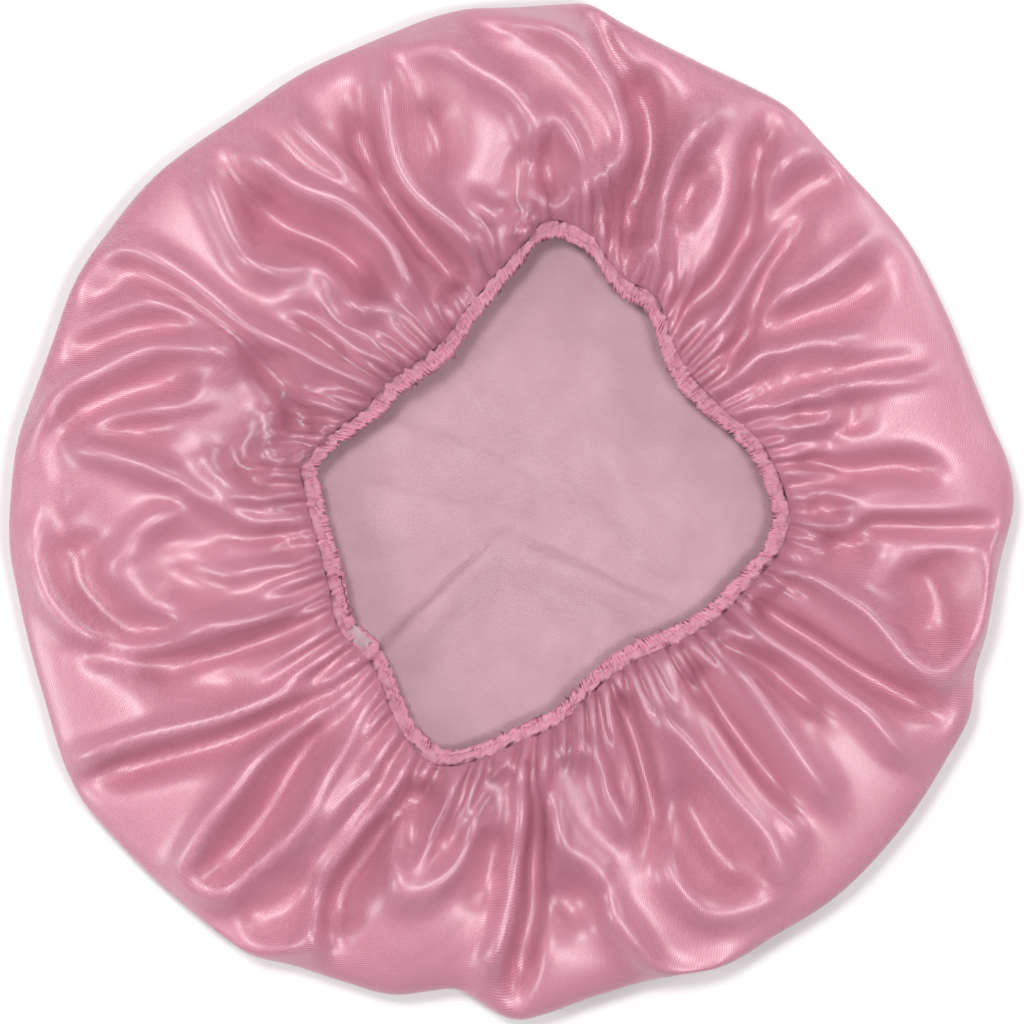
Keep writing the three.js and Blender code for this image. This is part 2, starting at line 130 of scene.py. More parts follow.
# Folds of the gathered top, traced along their crests, and along creases and dents with a
# negative height: height, half width, then the points of the line, all in millimetres
FOLD_LINES = (
    (5, 3.5, ((-90, 56), (-109, 58), (-127, 56), (-144, 48), (-159, 38), (-165, 27))),
    (6, 3.3, (
        (-167, -8), (-162, -26), (-155, -35), (-144, -45), (-132, -49), (-109, -44), (-88, -38),
        (-65, -32),
    )),
    (-6, 6.6, ((-155, 30), (-137, 40), (-113, 50))),
    (-6, 6.6, ((-155, -6), (-151, -24), (-142, -36), (-127, -42), (-114, -40))),
    (-6, 2.9, ((-149, -46), (-137, -50), (-123, -52), (-102, -48), (-85, -43), (-67, -35))),
    (3, 3.3, ((-104, 56), (-100, 52), (-107, 45), (-112, 39))),
    (5, 2.6, (
        (-112, 38), (-127, 36), (-141, 33), (-149, 28), (-148, 23), (-142, 21), (-127, 16),
        (-111, 5), (-92, -5), (-78, -7),
    )),
    (-5, 2.4, ((-123, 10), (-109, 2), (-92, -7), (-74, -8))),
    (-3, 4.4, ((-137, 28), (-123, 27))),
    (3, 2.2, ((-107, 22), (-104, 16), (-96, 9), (-88, 4), (-79, 2))),
    (-4, 4.4, ((-100, 22), (-85, 12))),
    (4, 2.9, (
        (-113, 4), (-127, -6), (-135, -15), (-140, -20), (-135, -24), (-130, -31), (-120, -36),
        (-107, -38), (-95, -34),
    )),
    (-3, 4, ((-121, -22), (-102, -24))),
    (-2.5, 4.4, ((-127, -10), (-100, -10))),
    (2.5, 2.2, ((-109, -19), (-97, -22), (-86, -19), (-71, -19))),
    (-3, 3.1, ((-79, -12), (-74, -12))),
    (-3, 5.5, ((-127, -59), (-92, -59))),
    (6, 2.9, (
        (-58, -54), (-65, -61), (-78, -65), (-92, -70), (-109, -76), (-127, -80), (-144, -85),
        (-158, -89),
    )),
    (-8, 3.5, ((-58, -58), (-74, -67), (-92, -76), (-109, -81), (-127, -86), (-148, -91))),
    (5, 3.5, (
        (-142, 90), (-134, 90), (-123, 85), (-109, 75), (-95, 65), (-85, 60), (-74, 56), (-60, 47),
    )),
    (-6, 2.6, (
        (-142, 89), (-130, 85), (-116, 77), (-102, 66), (-92, 58), (-81, 46), (-74, 32), (-69, 23),
    )),
    (3, 2.2, ((-148, 64), (-134, 71), (-123, 72), (-113, 69), (-95, 60))),
    (-3, 4.4, ((-149, 74), (-134, 80))),
    (-4, 4, ((-153, 53), (-141, 60), (-127, 64), (-109, 63))),
    (3, 2.2, ((-79, 68), (-72, 69), (-67, 65), (-58, 58), (-50, 53), (-41, 50))),
    (-3, 2.6, ((-72, 64), (-60, 56))),
    (2, 2, ((-78, 43), (-71, 39), (-60, 36), (-55, 32))),
    (-2.5, 2.2, ((-74, 38), (-65, 30))),
    (3, 2.2, ((-83, 37), (-85, 29), (-85, 18), (-78, 12))),
    (-3, 2.9, ((-79, 30), (-76, 30))),
    (-3, 2.6, ((-78, 20), (-74, 20))),
    (5, 3.1, (
        (-97, 128), (-88, 123), (-78, 114), (-67, 109), (-57, 106), (-50, 100), (-43, 92), (-37, 81),
        (-34, 74),
    )),
    (5, 2.9, (
        (-106, 127), (-105, 116), (-100, 106), (-95, 95), (-90, 86), (-83, 84), (-76, 86), (-69, 88),
        (-62, 83), (-57, 74), (-52, 70), (-44, 72), (-41, 66),
    )),
    (-8, 6.6, ((-92, 109), (-78, 99), (-60, 90), (-49, 80))),
    (4, 2.2, (
        (-81, 145), (-74, 134), (-60, 121), (-48, 113), (-43, 104), (-36, 93), (-29, 86), (-20, 78),
    )),
    (-8, 4, ((-53, 141), (-51, 127), (-47, 115), (-42, 107), (-35, 97), (-25, 85), (-16, 76))),
    (3, 2, ((-53, 104), (-46, 97), (-41, 92), (-36, 81), (-30, 71), (-26, 61))),
    (5, 3.1, ((-46, 158), (-44, 144), (-43, 128), (-37, 113), (-27, 104), (-15, 95), (-9, 86))),
    (4, 3.3, ((-41, 162), (-25, 161), (-13, 154), (-4, 149), (3, 142), (5, 131))),
    (-5, 5.5, ((-29, 141), (-25, 120))),
    (2, 2.6, ((-30, 172), (-22, 167), (-15, 163))),
    (-2, 3.3, ((1, 137), (2, 135))),
    (-5, 2.4, ((5, 127), (3, 113), (5, 97))),
    (4, 2.4, ((12, 139), (8, 130), (5, 120), (6, 111), (12, 106), (16, 99))),
    (4, 2.6, ((12, 139), (17, 135), (22, 127), (24, 120), (21, 113), (18, 102))),
    (-4, 2.9, ((13, 127), (12, 113))),
    (6, 3.1, (
        (-4, 174), (10, 170), (20, 165), (29, 156), (36, 146), (41, 134), (41, 125), (36, 119),
        (29, 114), (26, 109), (25, 99),
    )),
    (-9, 5.3, ((38, 151), (45, 141), (47, 127), (45, 113), (42, 104), (38, 93))),
    (-3, 2.2, ((30, 174), (32, 163), (35, 152))),
    (2.5, 2.2, ((-15, 109), (-8, 104), (-1, 103), (1, 94))),
    (2.5, 1.8, ((42, 109), (46, 104), (45, 88))),
    (6, 2.9, ((50, 78), (50, 93), (52, 107), (56, 120), (62, 130), (70, 138))),
    (-5, 4, ((56, 103), (62, 113), (66, 119))),
    (-7, 2.9, ((56, 64), (62, 72), (70, 78), (77, 88), (82, 99), (84, 109), (86, 123), (90, 135))),
    (-5, 4.8, ((82, 90), (90, 100), (101, 112), (115, 119))),
    (3, 3.1, ((85, 116), (97, 122), (108, 125))),
    (-6, 2.4, ((74, 48), (79, 57), (83, 67), (85, 74), (90, 85), (96, 93), (102, 101))),
    (3, 4.4, ((66, 58), (78, 74), (85, 86), (92, 95))),
    (3, 3.3, ((88, 71), (97, 77), (111, 85), (126, 96))),
    (-3, 3.3, ((97, 89), (105, 86))),
    (-4, 4.8, ((89, 62), (101, 67), (118, 74), (129, 84))),
    (4, 3.1, ((74, 48), (83, 54), (94, 57), (106, 60), (118, 58))),
    (-4, 2.6, ((111, 46), (122, 49), (143, 51))),
    (4, 2.6, ((97, 39), (111, 44), (125, 47), (145, 49))),
    (3, 2, ((90, 35), (101, 39), (110, 38), (111, 32), (101, 30), (92, 25))),
    (-3, 2.6, ((101, 35), (103, 35))),
    (-4, 4, ((117, 40), (118, 28))),
    (-3, 2.9, ((88, 44), (90, 44))),
    (-3, 2.9, ((100, 48), (105, 44))),
    (-3, 3.3, ((110, 25), (112, 25))),
    (-5, 2.9, ((97, 19), (118, 15), (136, 16), (146, 13))),
    (-4, 2.2, ((96, 9), (108, 10), (119, 10))),
    (2.5, 2, ((96, 8), (108, 8), (118, 7))),
    (-3, 3.3, ((104, 3), (114, -1))),
    (3, 2, ((101, -3), (108, -6), (117, -4), (122, -2), (136, -1), (171, -4))),
    (-6, 2.2, ((122, -4), (136, -4), (171, -5))),
    (-5, 4.4, ((110, -10), (124, -12))),
    (5, 2.9, (
        (89, -19), (101, -21), (111, -27), (122, -34), (131, -43), (136, -50), (145, -56),
        (153, -54), (162, -44), (166, -31), (167, -17), (167, -10),
    )),
    (-6, 6.6, ((142, -17), (148, -31), (146, -45))),
    (-2.5, 2.6, ((97, -24), (100, -25))),
    (-7, 2.6, ((83, -30), (94, -38), (108, -47), (118, -54), (132, -62), (148, -70))),
    (4, 2.4, ((78, -38), (87, -45), (101, -52), (111, -61), (122, -68), (132, -80), (141, -86))),
    (-5, 2.9, ((69, -45), (87, -52), (97, -61), (108, -68))),
    (4, 3.3, ((70, -40), (76, -48), (87, -66), (101, -87), (111, -101))),
    (-7, 3.1, ((62, -54), (71, -68), (82, -83), (96, -101))),
    (3, 2, ((66, -62), (73, -76), (83, -91), (96, -108), (101, -118))),
    (4, 3.1, ((48, -69), (59, -78), (66, -87), (76, -99), (87, -111), (92, -122), (94, -131))),
    (4, 2.6, ((50, -110), (54, -122), (59, -131), (67, -138), (78, -138), (91, -134))),
    (-6, 6.6, ((59, -94), (69, -115), (82, -129))),
    (-8, 3.1, ((36, -62), (43, -83), (48, -104), (49, -118))),
    (4, 2.4, (
        (35, -62), (38, -73), (43, -90), (44, -104), (40, -108), (34, -98), (31, -88), (27, -82),
        (19, -83),
    )),
    (-3, 3.1, ((37, -92), (38, -96))),
    (5, 2.6, ((13, -78), (11, -88), (11, -97), (14, -108), (19, -117), (27, -124), (35, -129))),
    (5, 2.6, ((31, -133), (36, -141), (43, -150), (49, -158), (57, -161), (68, -160), (82, -153))),
    (-8, 2.9, ((8, -87), (9, -108), (7, -122), (6, -139), (3, -155), (1, -168))),
    (-6, 6.6, ((17, -129), (24, -143))),
    (5, 2.6, ((-4, -85), (2, -89), (5, -97), (4, -111), (2, -125), (0, -139), (-4, -152), (-11, -161))),
    (-4, 5.5, ((-6, -111), (-8, -136))),
    (4, 3.1, (
        (-34, -99), (-39, -108), (-41, -118), (-39, -129), (-35, -132), (-28, -130), (-18, -121),
        (-13, -108), (-13, -97),
    )),
    (3, 2, ((-19, -89), (-22, -101), (-28, -113), (-32, -124))),
    (-3, 2.9, ((-35, -113), (-35, -117))),
    (-4, 3.3, ((-23, -115), (-23, -118))),
    (6, 2.4, (
        (-32, -87), (-39, -96), (-50, -108), (-57, -117), (-63, -125), (-66, -133), (-69, -144),
        (-68, -152),
    )),
    (-8, 5.3, ((-30, -91), (-40, -105), (-52, -119), (-61, -133), (-63, -146))),
    (4, 3.3, (
        (-52, -62), (-64, -68), (-74, -75), (-86, -83), (-95, -96), (-104, -106), (-109, -115),
        (-115, -126), (-109, -131), (-100, -132), (-92, -124), (-82, -117), (-74, -110), (-66, -94),
        (-58, -82), (-48, -68),
    )),
    (-6, 4, ((-64, -71), (-74, -85), (-83, -101), (-95, -118), (-104, -125))),
    (3, 3.5, ((-46, -89), (-57, -98), (-66, -111))),
    (-4, 6.6, ((-95, -143), (-78, -136), (-74, -125))),
    (3, 2.6, ((-109, -143), (-99, -151), (-90, -154), (-74, -152), (-65, -151))),
)

# How strongly the traced folds show: share of their height and width, the share of a line over
# which its end fades, the share left at its very end, the share of the height that is left at the
# rim, how flat the crests are, and curve steps for each point
FOLDS = {
    "height": 2.0, "width": 1.5, "fade": 0.12, "end": 0.35, "at_rim": 0.45, "flatness": 1.6,
    "steps": 4,
}

# How the cloth settles: rows kept at the rim and rows over which the extra length comes in, steps,
# extra length round the ring, fall and carried speed of each step, stiffness and hold on the traced
# shape out on the ring and at the band, pull along the threads and across them, and how many
# neighbours a length is averaged over
SETTLE = {
    "rim_rows": 2, "ramp_rows": 8, "steps": 18, "rounds": 2, "excess": 1.02, "fall": 0.02 * MM,
    "carry": 0.8, "stiffness": 0.2, "hold": 0.2, "band_stiffness": 0.08, "band_hold": 0.3,
    "pull": 0.8, "shear": 0.2, "average_beside": 9, "average_outward": 41,
}
# Rows that keep the fine tucks: how fully, and, as shares of all rows, where they start and over
# how many they come in
TUCK_ROWS = {"kept": 0.75, "start": 0.5, "ramp": 0.3}

# Fine gathers: how many, how high, how far out they reach, and their seed
TUCKS = {"count": 80, "height": 13.0 * MM, "reach": 0.22, "seed": 7}
# Share of a gather's side that is creased, the rest being soft, and a reach that never fades
CREASED = 0.85
NO_FADE = 50.0

# Crinkles of the band in millimetres, up and sideways, and mesh steps for each tuck
CRINKLES = {"tucks": 1.7, "fine": 1.1, "noise": 1.6, "side_fine": 1.3, "side_noise": 1.4}
BAND_STEPS = 16

# Cut end of the elastic: how many ribs, their height, its tilt and its sag in millimetres, and its
# mean width as a share of END_WIDTH
TAB = {"ribs": 5, "rib": 0.25, "tilt": 1.2, "sag": 0.5, "width": 0.86}

# Sewing threads: overlock loops and their radius, and the radius of the loose end
STITCH_COUNT = 300
STITCH_RADIUS = 0.22 * MM
THREAD_RADIUS = 0.18 * MM

# Soft creases of the flat panel: ends in millimetres, height and half width; then the width of
# their steep and of their soft side as shares of the half width
PANEL_CREASES = (
    ((-43, -48), (-4, -10), 3.6 * MM, 3.0 * MM),
    ((-4, -10), (50, -33), 3.6 * MM, 3.5 * MM),
    ((48, -16), (16, 30), 2.6 * MM, 4.0 * MM),
    ((-40, 28), (2, 12), 2.4 * MM, 5.0 * MM),
    ((30, 4), (-8, 40), 2.2 * MM, 4.5 * MM),
    ((26, -58), (36, -22), 2.0 * MM, 5.0 * MM),
    ((-56, 8), (-14, 0), 1.8 * MM, 5.0 * MM),
)
CREASE_STEEP, CREASE_SOFT = 1.0, 3.5


def smooth_curve(places, values, at):
    """Values between rows, on a smooth curve; rows run along the last axis of values."""
    places = np.asarray(places, float)
    values = np.asarray(values, float)
    slopes = np.gradient(values, places, axis=-1)
    at = np.clip(at, places[0], places[-1])
    row = np.clip(np.searchsorted(places, at, side="right") - 1, 0, len(places) - 2)
    span = places[row + 1] - places[row]
    s = (at - places[row]) / span
    start, end = values[..., row], values[..., row + 1]
    slope_in, slope_out = slopes[..., row] * span, slopes[..., row + 1] * span
    return (
        (2 * s**3 - 3 * s**2 + 1) * start
        + (s**3 - 2 * s**2 + s) * slope_in
        + (3 * s**2 - 2 * s**3) * end
        + (s**3 - s**2) * slope_out
    )


def around(table, column, angles):
    """One column of a closed outline table at any angles."""
    rows = np.array(table, float)
    places = np.concatenate([rows[-3:, 0] - FULL_TURN, rows[:, 0], rows[:3, 0] + FULL_TURN])
    values = np.concatenate([rows[-3:, column], rows[:, column], rows[:3, column]])
    return smooth_curve(places, values, np.mod(angles, FULL_TURN))


def toward(angles):
    """Unit vectors in plan."""
    turn = np.radians(angles)
    return np.stack([np.cos(turn), np.sin(turn)], axis=-1)


def rim_plan(angles):
    return toward(angles) * (RIM_RADIUS * around(RIM_OUTLINE, 1, angles))[..., None]


def mouth_plan(angles, outside=0.0):
    reach = MOUTH_RADIUS * around(MOUTH_OUTLINE, 1, angles) + outside
    return MOUTH_MIDDLE + toward(angles) * reach[..., None]


def mouth_level(angles):
    return MOUTH_HEIGHT + MOUTH_RISE * around(MOUTH_OUTLINE, 2, angles)


def rounded(angles, nodes, heights):
    """Height at each angle: round on the crests and creased in the gullies."""
    places = np.concatenate([nodes[-2:] - FULL_TURN, nodes, nodes[:2] + FULL_TURN])
    values = np.concatenate([heights[-2:], heights, heights[:2]])
    row = np.clip(np.searchsorted(places, angles, side="right") - 1, 0, len(places) - 2)
    s = (angles - places[row]) / (places[row + 1] - places[row])
    start, end = values[row], values[row + 1]
    rising = end > start
    climb = np.where(rising, s, 1 - s)
    creased = np.sin(climb * math.pi / 2)
    soft = climb * climb * (3 - 2 * climb)
    shape = CREASED * creased + (1 - CREASED) * soft
    return np.minimum(start, end) + np.abs(end - start) * shape


def gather_line(gathers, u, angles):
    """Height of a set of fine gathers at one u, in metres."""
    count = gathers["count"]
    draw = np.random.default_rng(gathers["seed"])
    step = FULL_TURN / count
    crests = (np.arange(count) + draw.uniform(-0.3, 0.3, count)) * step
    gullies = crests + step * draw.uniform(0.4, 0.6, count)
    reach = gathers["reach"] * draw.uniform(0.5, 1.5, count)
    strength = draw.uniform(0.3, 1.0, count) * np.clip(1 - u / reach, 0, 1)
    nodes = np.stack([crests, gullies], axis=-1).ravel()
    heights = np.stack([strength, np.zeros(count)], axis=-1).ravel()
    return gathers["height"] * rounded(angles, nodes, heights)


def fold_relief(plan):
    """Height that the traced folds add at points of the plan."""
    relief = np.zeros(plan.shape[:-1])
    for height, width, points in FOLD_LINES:
        places = np.arange(len(points))
        steps = np.linspace(0, places[-1], FOLDS["steps"] * len(points))
        path = smooth_curve(places, np.array(points, float).T, steps).T * MM
        nearest = np.full(relief.shape, np.inf)
        along = np.zeros(relief.shape)
        for step, (start, end) in enumerate(zip(path[:-1], path[1:])):
            run = end - start
            share = np.clip((plan - start) @ run / (run @ run), 0, 1)
            away = np.linalg.norm(plan - start - share[..., None] * run, axis=-1)
            closer = away < nearest
            nearest = np.where(closer, away, nearest)
            along = np.where(closer, (step + share) / (len(path) - 1), along)
        fade = np.clip(np.minimum(along, 1 - along) / FOLDS["fade"], 0, 1)
        fade = FOLDS["end"] + (1 - FOLDS["end"]) * fade * fade * (3 - 2 * fade)
        away = nearest / (FOLDS["width"] * width * MM)
        relief += height * fade * np.exp(-(away ** FOLDS["flatness"]))
    return FOLDS["height"] * MM * relief


def arch(share):
    """A half ellipse over shares from 0 to 1."""
    return np.sqrt(np.clip(1 - (2 * share - 1) ** 2, 0, 1))


def top_row(u, angles):
    """Points of the gathered top at one u, before its folds."""
    edge = (1 - u) * mouth_level(angles) + u * RIM_HEIGHT
    level = edge + (CREST_HEIGHT - edge) * arch(u) ** 0.9
    level = level + gather_line(TUCKS, u, angles) * arch(min(1.0, u * 2.5 + 0.06))
    inside = mouth_plan(angles, BAND_WIDTH - BAND_OVERLAP)
    plan = inside + (rim_plan(angles) - inside) * u
    return np.column_stack([plan, level])


def pull(first, second, length, give_first, give_second, strength):
    """Moves two sets of points toward their length apart."""
    apart = second - first
    now = np.linalg.norm(apart, axis=-1, keepdims=True) + 1e-9
    shift = strength * (now - length) / now * apart
    return first + give_first * shift, second - give_second * shift


def spread(values, reach):
    """Mean over neighbours, round the ring."""
    weights = np.ones(reach) / reach
    ring = np.concatenate([values[:, -reach:], values, values[:, :reach]], axis=1)
    return np.array([np.convolve(row, weights, "same")[reach:-reach] for row in ring])[..., None]


def near_band(rows):
    """How much each row belongs to the fine tucks at the band, from 0 to 1."""
    past = np.arange(rows) - TUCK_ROWS["start"] * rows
    return TUCK_ROWS["kept"] * np.clip(past / (TUCK_ROWS["ramp"] * rows), 0, 1)[:, None, None]


def evened(cloth, passes):
    """Softens steps of the grid, with the rim, the tucks and the band's edge kept."""
    keep = near_band(len(cloth))
    for _ in range(passes):
        soft = (np.roll(cloth, -1, 1) + 2 * cloth + np.roll(cloth, 1, 1)) / 4
        inner = (soft[2:] + 2 * soft[1:-1] + soft[:-2]) / 4
        soft = np.concatenate([soft[:1], inner, soft[-1:]])
        cloth = soft + (cloth - soft) * keep
    return cloth


def settle(cloth):
    """Lets the traced folds fall as cloth does, between the rim and the band."""
    rows, columns, _ = cloth.shape
    free = np.ones((rows, 1, 1))
    free[:SETTLE["rim_rows"]] = 0
    free[-1] = 0
    beside = np.linalg.norm(np.roll(cloth, -1, 1) - cloth, axis=2)
    beside = spread(beside, SETTLE["average_beside"])
    ramp = (np.arange(rows) - SETTLE["rim_rows"]) / SETTLE["ramp_rows"]
    ramp = np.clip(ramp, 0, 1)[:, None, None]
    beside = beside * (1 + (SETTLE["excess"] - 1) * ramp)
    outward = np.linalg.norm(cloth[1:] - cloth[:-1], axis=2)
    outward = spread(outward, SETTLE["average_outward"])
    across = np.sqrt(outward**2 + ((beside[1:] + beside[:-1]) / 2) ** 2)
    at_band = near_band(rows)
    stiffness = SETTLE["stiffness"] + (SETTLE["band_stiffness"] - SETTLE["stiffness"]) * at_band
    hold = SETTLE["hold"] + (SETTLE["band_hold"] - SETTLE["hold"]) * at_band
    pull_along, pull_across = SETTLE["pull"], SETTLE["shear"]
    links = ((0, outward, pull_along), (1, across, pull_across), (-1, across, pull_across))
    points, speed = cloth.copy(), np.zeros_like(cloth)
    for _ in range(SETTLE["steps"]):
        before = points.copy()
        points = points + SETTLE["carry"] * speed + (cloth - points) * hold * free
        points[..., 2] -= SETTLE["fall"] * free[..., 0]
        for _ in range(SETTLE["rounds"]):
            for odd in (0, 1):
                turned = np.roll(points, -odd, 1)
                lengths = np.roll(beside, -odd, 1)[:, 0::2]
                turned[:, 0::2], turned[:, 1::2] = pull(
                    turned[:, 0::2], turned[:, 1::2], lengths, free / 2, free / 2, pull_along
                )
                points = np.roll(turned, odd, 1)
            for shift, lengths, strength in links:
                for odd in (0, 1):
                    near = np.arange(odd, rows - 1, 2)
                    total = np.maximum(free[near] + free[near + 1], 1)
                    other = np.roll(points, -shift, 1)
                    points[near], moved = pull(
                        points[near], other[near + 1], lengths[near],
                        free[near] / total, free[near + 1] / total, strength,
                    )
                    other = np.roll(points, -shift, 1)
                    other[near + 1] = moved
                    points = np.roll(other, shift, 1)
        for axis in (0, 1):
            bend = (np.roll(points, -1, axis) + np.roll(points, 1, axis)) / 2 - points
            if axis == 0:
                bend[0] = bend[-1] = 0
            bend = (np.roll(bend, -1, axis) + np.roll(bend, 1, axis)) / 2 - bend
            points = points - stiffness * bend * free
        level = points[..., 2]
        points[..., 2] = np.where(free[..., 0] > 0, np.maximum(level, 2 * CLOTH), level)
        speed = (points - before) * free
    return points


def panel_level(plan):
    """Soft creases of the flat panel, steep on the left of their line and soft on its right."""
    level = np.zeros(len(plan))
    for start, end, height, width in PANEL_CREASES:
        a, b = np.array(start) * MM, np.array(end) * MM
        run = b - a
        along = np.clip(((plan - a) @ run) / (run @ run), 0, 1)
        off = plan - (a + along[:, None] * run)
        away = np.linalg.norm(off, axis=1)
        right = (run[1] * off[:, 0] - run[0] * off[:, 1]) / (np.linalg.norm(run) * away + 1e-9)
        middle, lean = (CREASE_SOFT + CREASE_STEEP) / 2, (CREASE_SOFT - CREASE_STEEP) / 2
        width = width * (middle + lean * right)
        level = np.maximum(level, height * np.exp(-((away / width) ** 2)))
    return level


def cloth_rows(angles):
    """The whole cloth, row by row from the middle of the panel over the rim to the mouth."""
    rim = rim_plan(angles)
    rows = []
    for share in PANEL_START + PANEL_SPAN * np.linspace(0, 1, PANEL_ROWS) ** PANEL_SPACING:
        plan = rim * share
        rows.append(np.column_stack([plan, panel_level(plan)]))
    wave = np.clip(RIM_HEIGHT + FOLDS["at_rim"] * fold_relief(rim), RIM_LEAST, None)
    for turn in np.linspace(0, math.pi / 2, TURN_ROWS + 2)[1:-1]:
        plan = rim * (TURN_START + TURN_REACH * math.sin(turn))
        rows.append(np.column_stack([plan, wave * (1 - math.cos(turn))]))
    bend = len(rows)
    places = 0.5 + 0.5 * np.cos(math.pi * np.linspace(0, 1, TOP_ROWS))
    rows = np.array(rows + [top_row(u, angles) for u in places])
    share = np.maximum(np.minimum(1, 1.3 * arch(places)), FOLDS["at_rim"] * (places > 0.5))
    rows[bend:, :, 2] += share[:, None] * fold_relief(rows[bend:, :, :2])
    rows[bend - 1:] = evened(settle(evened(rows[bend - 1:], 1)), 1)
    return rows


def flat_pattern(rows, angles):
    """Where each point lay on the cut disc, for the weave."""
    steps = np.linalg.norm(np.diff(rows, axis=0), axis=2).mean(axis=1)
    beyond = np.concatenate([[0.0], np.cumsum(steps)])
    edge = PANEL_ROWS - 1
    beyond = np.maximum(0, beyond - beyond[edge])[:, None, None]
    panel = rows[..., :2].copy()
    panel[edge:] = panel[edge]
    return panel + beyond * toward(angles)[None, :, :]


def grid_normals(rows):
    across = np.roll(rows, -1, axis=1) - np.roll(rows, 1, axis=1)
    along = np.gradient(rows, axis=0)
    normals = np.cross(along, across)
    return normals / np.linalg.norm(normals, axis=2, keepdims=True)


def ring_faces(rings, count, first=0, flip=False):
    """Quads between rings of points, each closed on itself."""
    ring, step = np.meshgrid(np.arange(rings - 1), np.arange(count), indexing="ij")
    a = first + ring * count + step
    b = first + ring * count + (step + 1) % count
    quads = np.stack([a, a + count, b + count, b], axis=-1).reshape(-1, 4)
    return quads[:, ::-1] if flip else quads


def mesh_object(name, points, faces, materials, slots=None, pattern=None):
    """A smooth mesh object from arrays of points and faces."""
    mesh = bpy.data.meshes.new(name)
    mesh.from_pydata(np.asarray(points).tolist(), [], [list(map(int, face)) for face in faces])
    for material in materials:
        mesh.materials.append(material)
    if slots is not None:
        mesh.polygons.foreach_set("material_index", np.asarray(slots, np.int32))
    if pattern is not None:
        corners = np.empty(len(mesh.loops), np.int32)
        mesh.loops.foreach_get("vertex_index", corners)
        layer = mesh.uv_layers.new(name="flat_pattern")
        layer.data.foreach_set("uv", np.asarray(pattern)[corners].astype(np.float32).ravel())
    mesh.polygons.foreach_set("use_smooth", np.ones(len(mesh.polygons), bool))
    mesh.validate()
    mesh.update()
    made = bpy.data.objects.new(name, mesh)
    bpy.context.scene.collection.objects.link(made)
    return made


def make_crown(outside, inside):
    """The satin bag: one cloth with its shiny side out and its dull side in."""
    angles = np.arange(COLUMNS) * FULL_TURN / COLUMNS
    rows = cloth_rows(angles)
    pattern = flat_pattern(rows, angles)
    lining = rows + grid_normals(rows) * CLOTH
    rings = len(rows)
    total = rings * COLUMNS
    points = np.concatenate([rows.reshape(-1, 3), lining.reshape(-1, 3)])
    outer = ring_faces(rings, COLUMNS, flip=True)
    inner = ring_faces(rings, COLUMNS, first=total)
    step = np.arange(COLUMNS)
    beside = (step + 1) % COLUMNS
    last = (rings - 1) * COLUMNS
    hem = np.stack([last + step, last + beside, total + last + beside, total + last + step], axis=-1)
    middle_out, middle_in = 2 * total, 2 * total + 1
    points = np.concatenate([points, [rows[0].mean(axis=0), lining[0].mean(axis=0)]])
    fan_out = [(middle_out, int(b), int(a)) for a, b in zip(step, beside)]
    fan_in = [(middle_in, int(total + a), int(total + b)) for a, b in zip(step, beside)]
    faces = [*outer, *inner, *hem, *fan_out, *fan_in]
    slots = np.concatenate([
        np.zeros(len(outer)), np.ones(len(inner)), np.zeros(len(hem)),
        np.zeros(COLUMNS), np.ones(COLUMNS),
    ])
    flat = pattern.reshape(-1, 2)
    flat = np.concatenate([flat, flat, np.zeros((2, 2))])
    return mesh_object("crown_cloth", points, faces, [outside, inside], slots, flat)


def make_band(material):
    """Gathered band: the cloth's edge crinkled over the elastic, with a rolled lip inside."""
    count = BAND_STEPS * TUCKS["count"]
    angles = np.arange(count) * FULL_TURN / count
    tucks = gather_line({**TUCKS, "reach": NO_FADE}, 0.02, angles) / TUCKS["height"]
    small = {"count": 2 * TUCKS["count"], "height": 1.0, "reach": NO_FADE, "seed": 3}
    fine = gather_line(small, 0.02, angles)
    draw = np.random.default_rng(5)
    level = mouth_level(angles)
    half = BAND_THICKNESS / 2
    section = (
        (1.05, -0.8), (1.1, 0.0), (1.02, 0.8), (0.86, 1.05), (0.7, 1.1), (0.55, 1.05), (0.42, 0.9),
        (0.34, 0.55), (0.26, 0.75), (0.16, 1.1), (0.05, 0.9), (-0.02, 0.1), (0.02, -0.6),
        (0.3, -1.0), (0.7, -1.0),
    )
    rings = []
    for out, up in section:
        loose = 0.35 + 0.65 * max(0.0, min(1.0, (out - 0.1) / 0.5))
        noise = draw.normal(0, 1, count)
        noise = np.convolve(np.tile(noise, 3), np.ones(7) / 7, "same")[count:2 * count]
        wave = tucks * CRINKLES["tucks"] + fine * CRINKLES["fine"] + noise * CRINKLES["noise"]
        wave = wave * MM * loose * (1.0 if up > 0 else 0.2)
        side = (fine - 0.5) * CRINKLES["side_fine"] + noise * CRINKLES["side_noise"]
        side = side * MM * (1 if out > 0.8 or out < 0.2 else 0.4)
        plan = mouth_plan(angles, BAND_WIDTH * out + side)
        rings.append(np.column_stack([plan, level + up * half + wave - 0.9 * MM]))
    points = np.concatenate(rings)
    quads = ring_faces(len(rings) + 1, count) % len(points)
    return mesh_object("mouth_band", points, quads, [material])


def tube(path, radius, sides=6):
    """Points and quads of a thin round thread along a path, closed at both ends."""
    path = np.asarray(path, float)
    ahead = np.gradient(path, axis=0)
    ahead /= np.linalg.norm(ahead, axis=1, keepdims=True)
    across = np.cross(ahead, np.array([0.17, 0.31, 0.93]))
    across /= np.linalg.norm(across, axis=1, keepdims=True)
    over = np.cross(ahead, across)
    turn = np.arange(sides) * 2 * math.pi / sides
    ring = across[:, None] * np.cos(turn)[:, None] + over[:, None] * np.sin(turn)[:, None]
    points = (path[:, None] + radius * ring).reshape(-1, 3)
    quads = ring_faces(len(path), sides).tolist()
    last = len(points) - sides
    caps = [list(range(sides)), [last + step for step in reversed(range(sides))]]
    return points, quads + caps


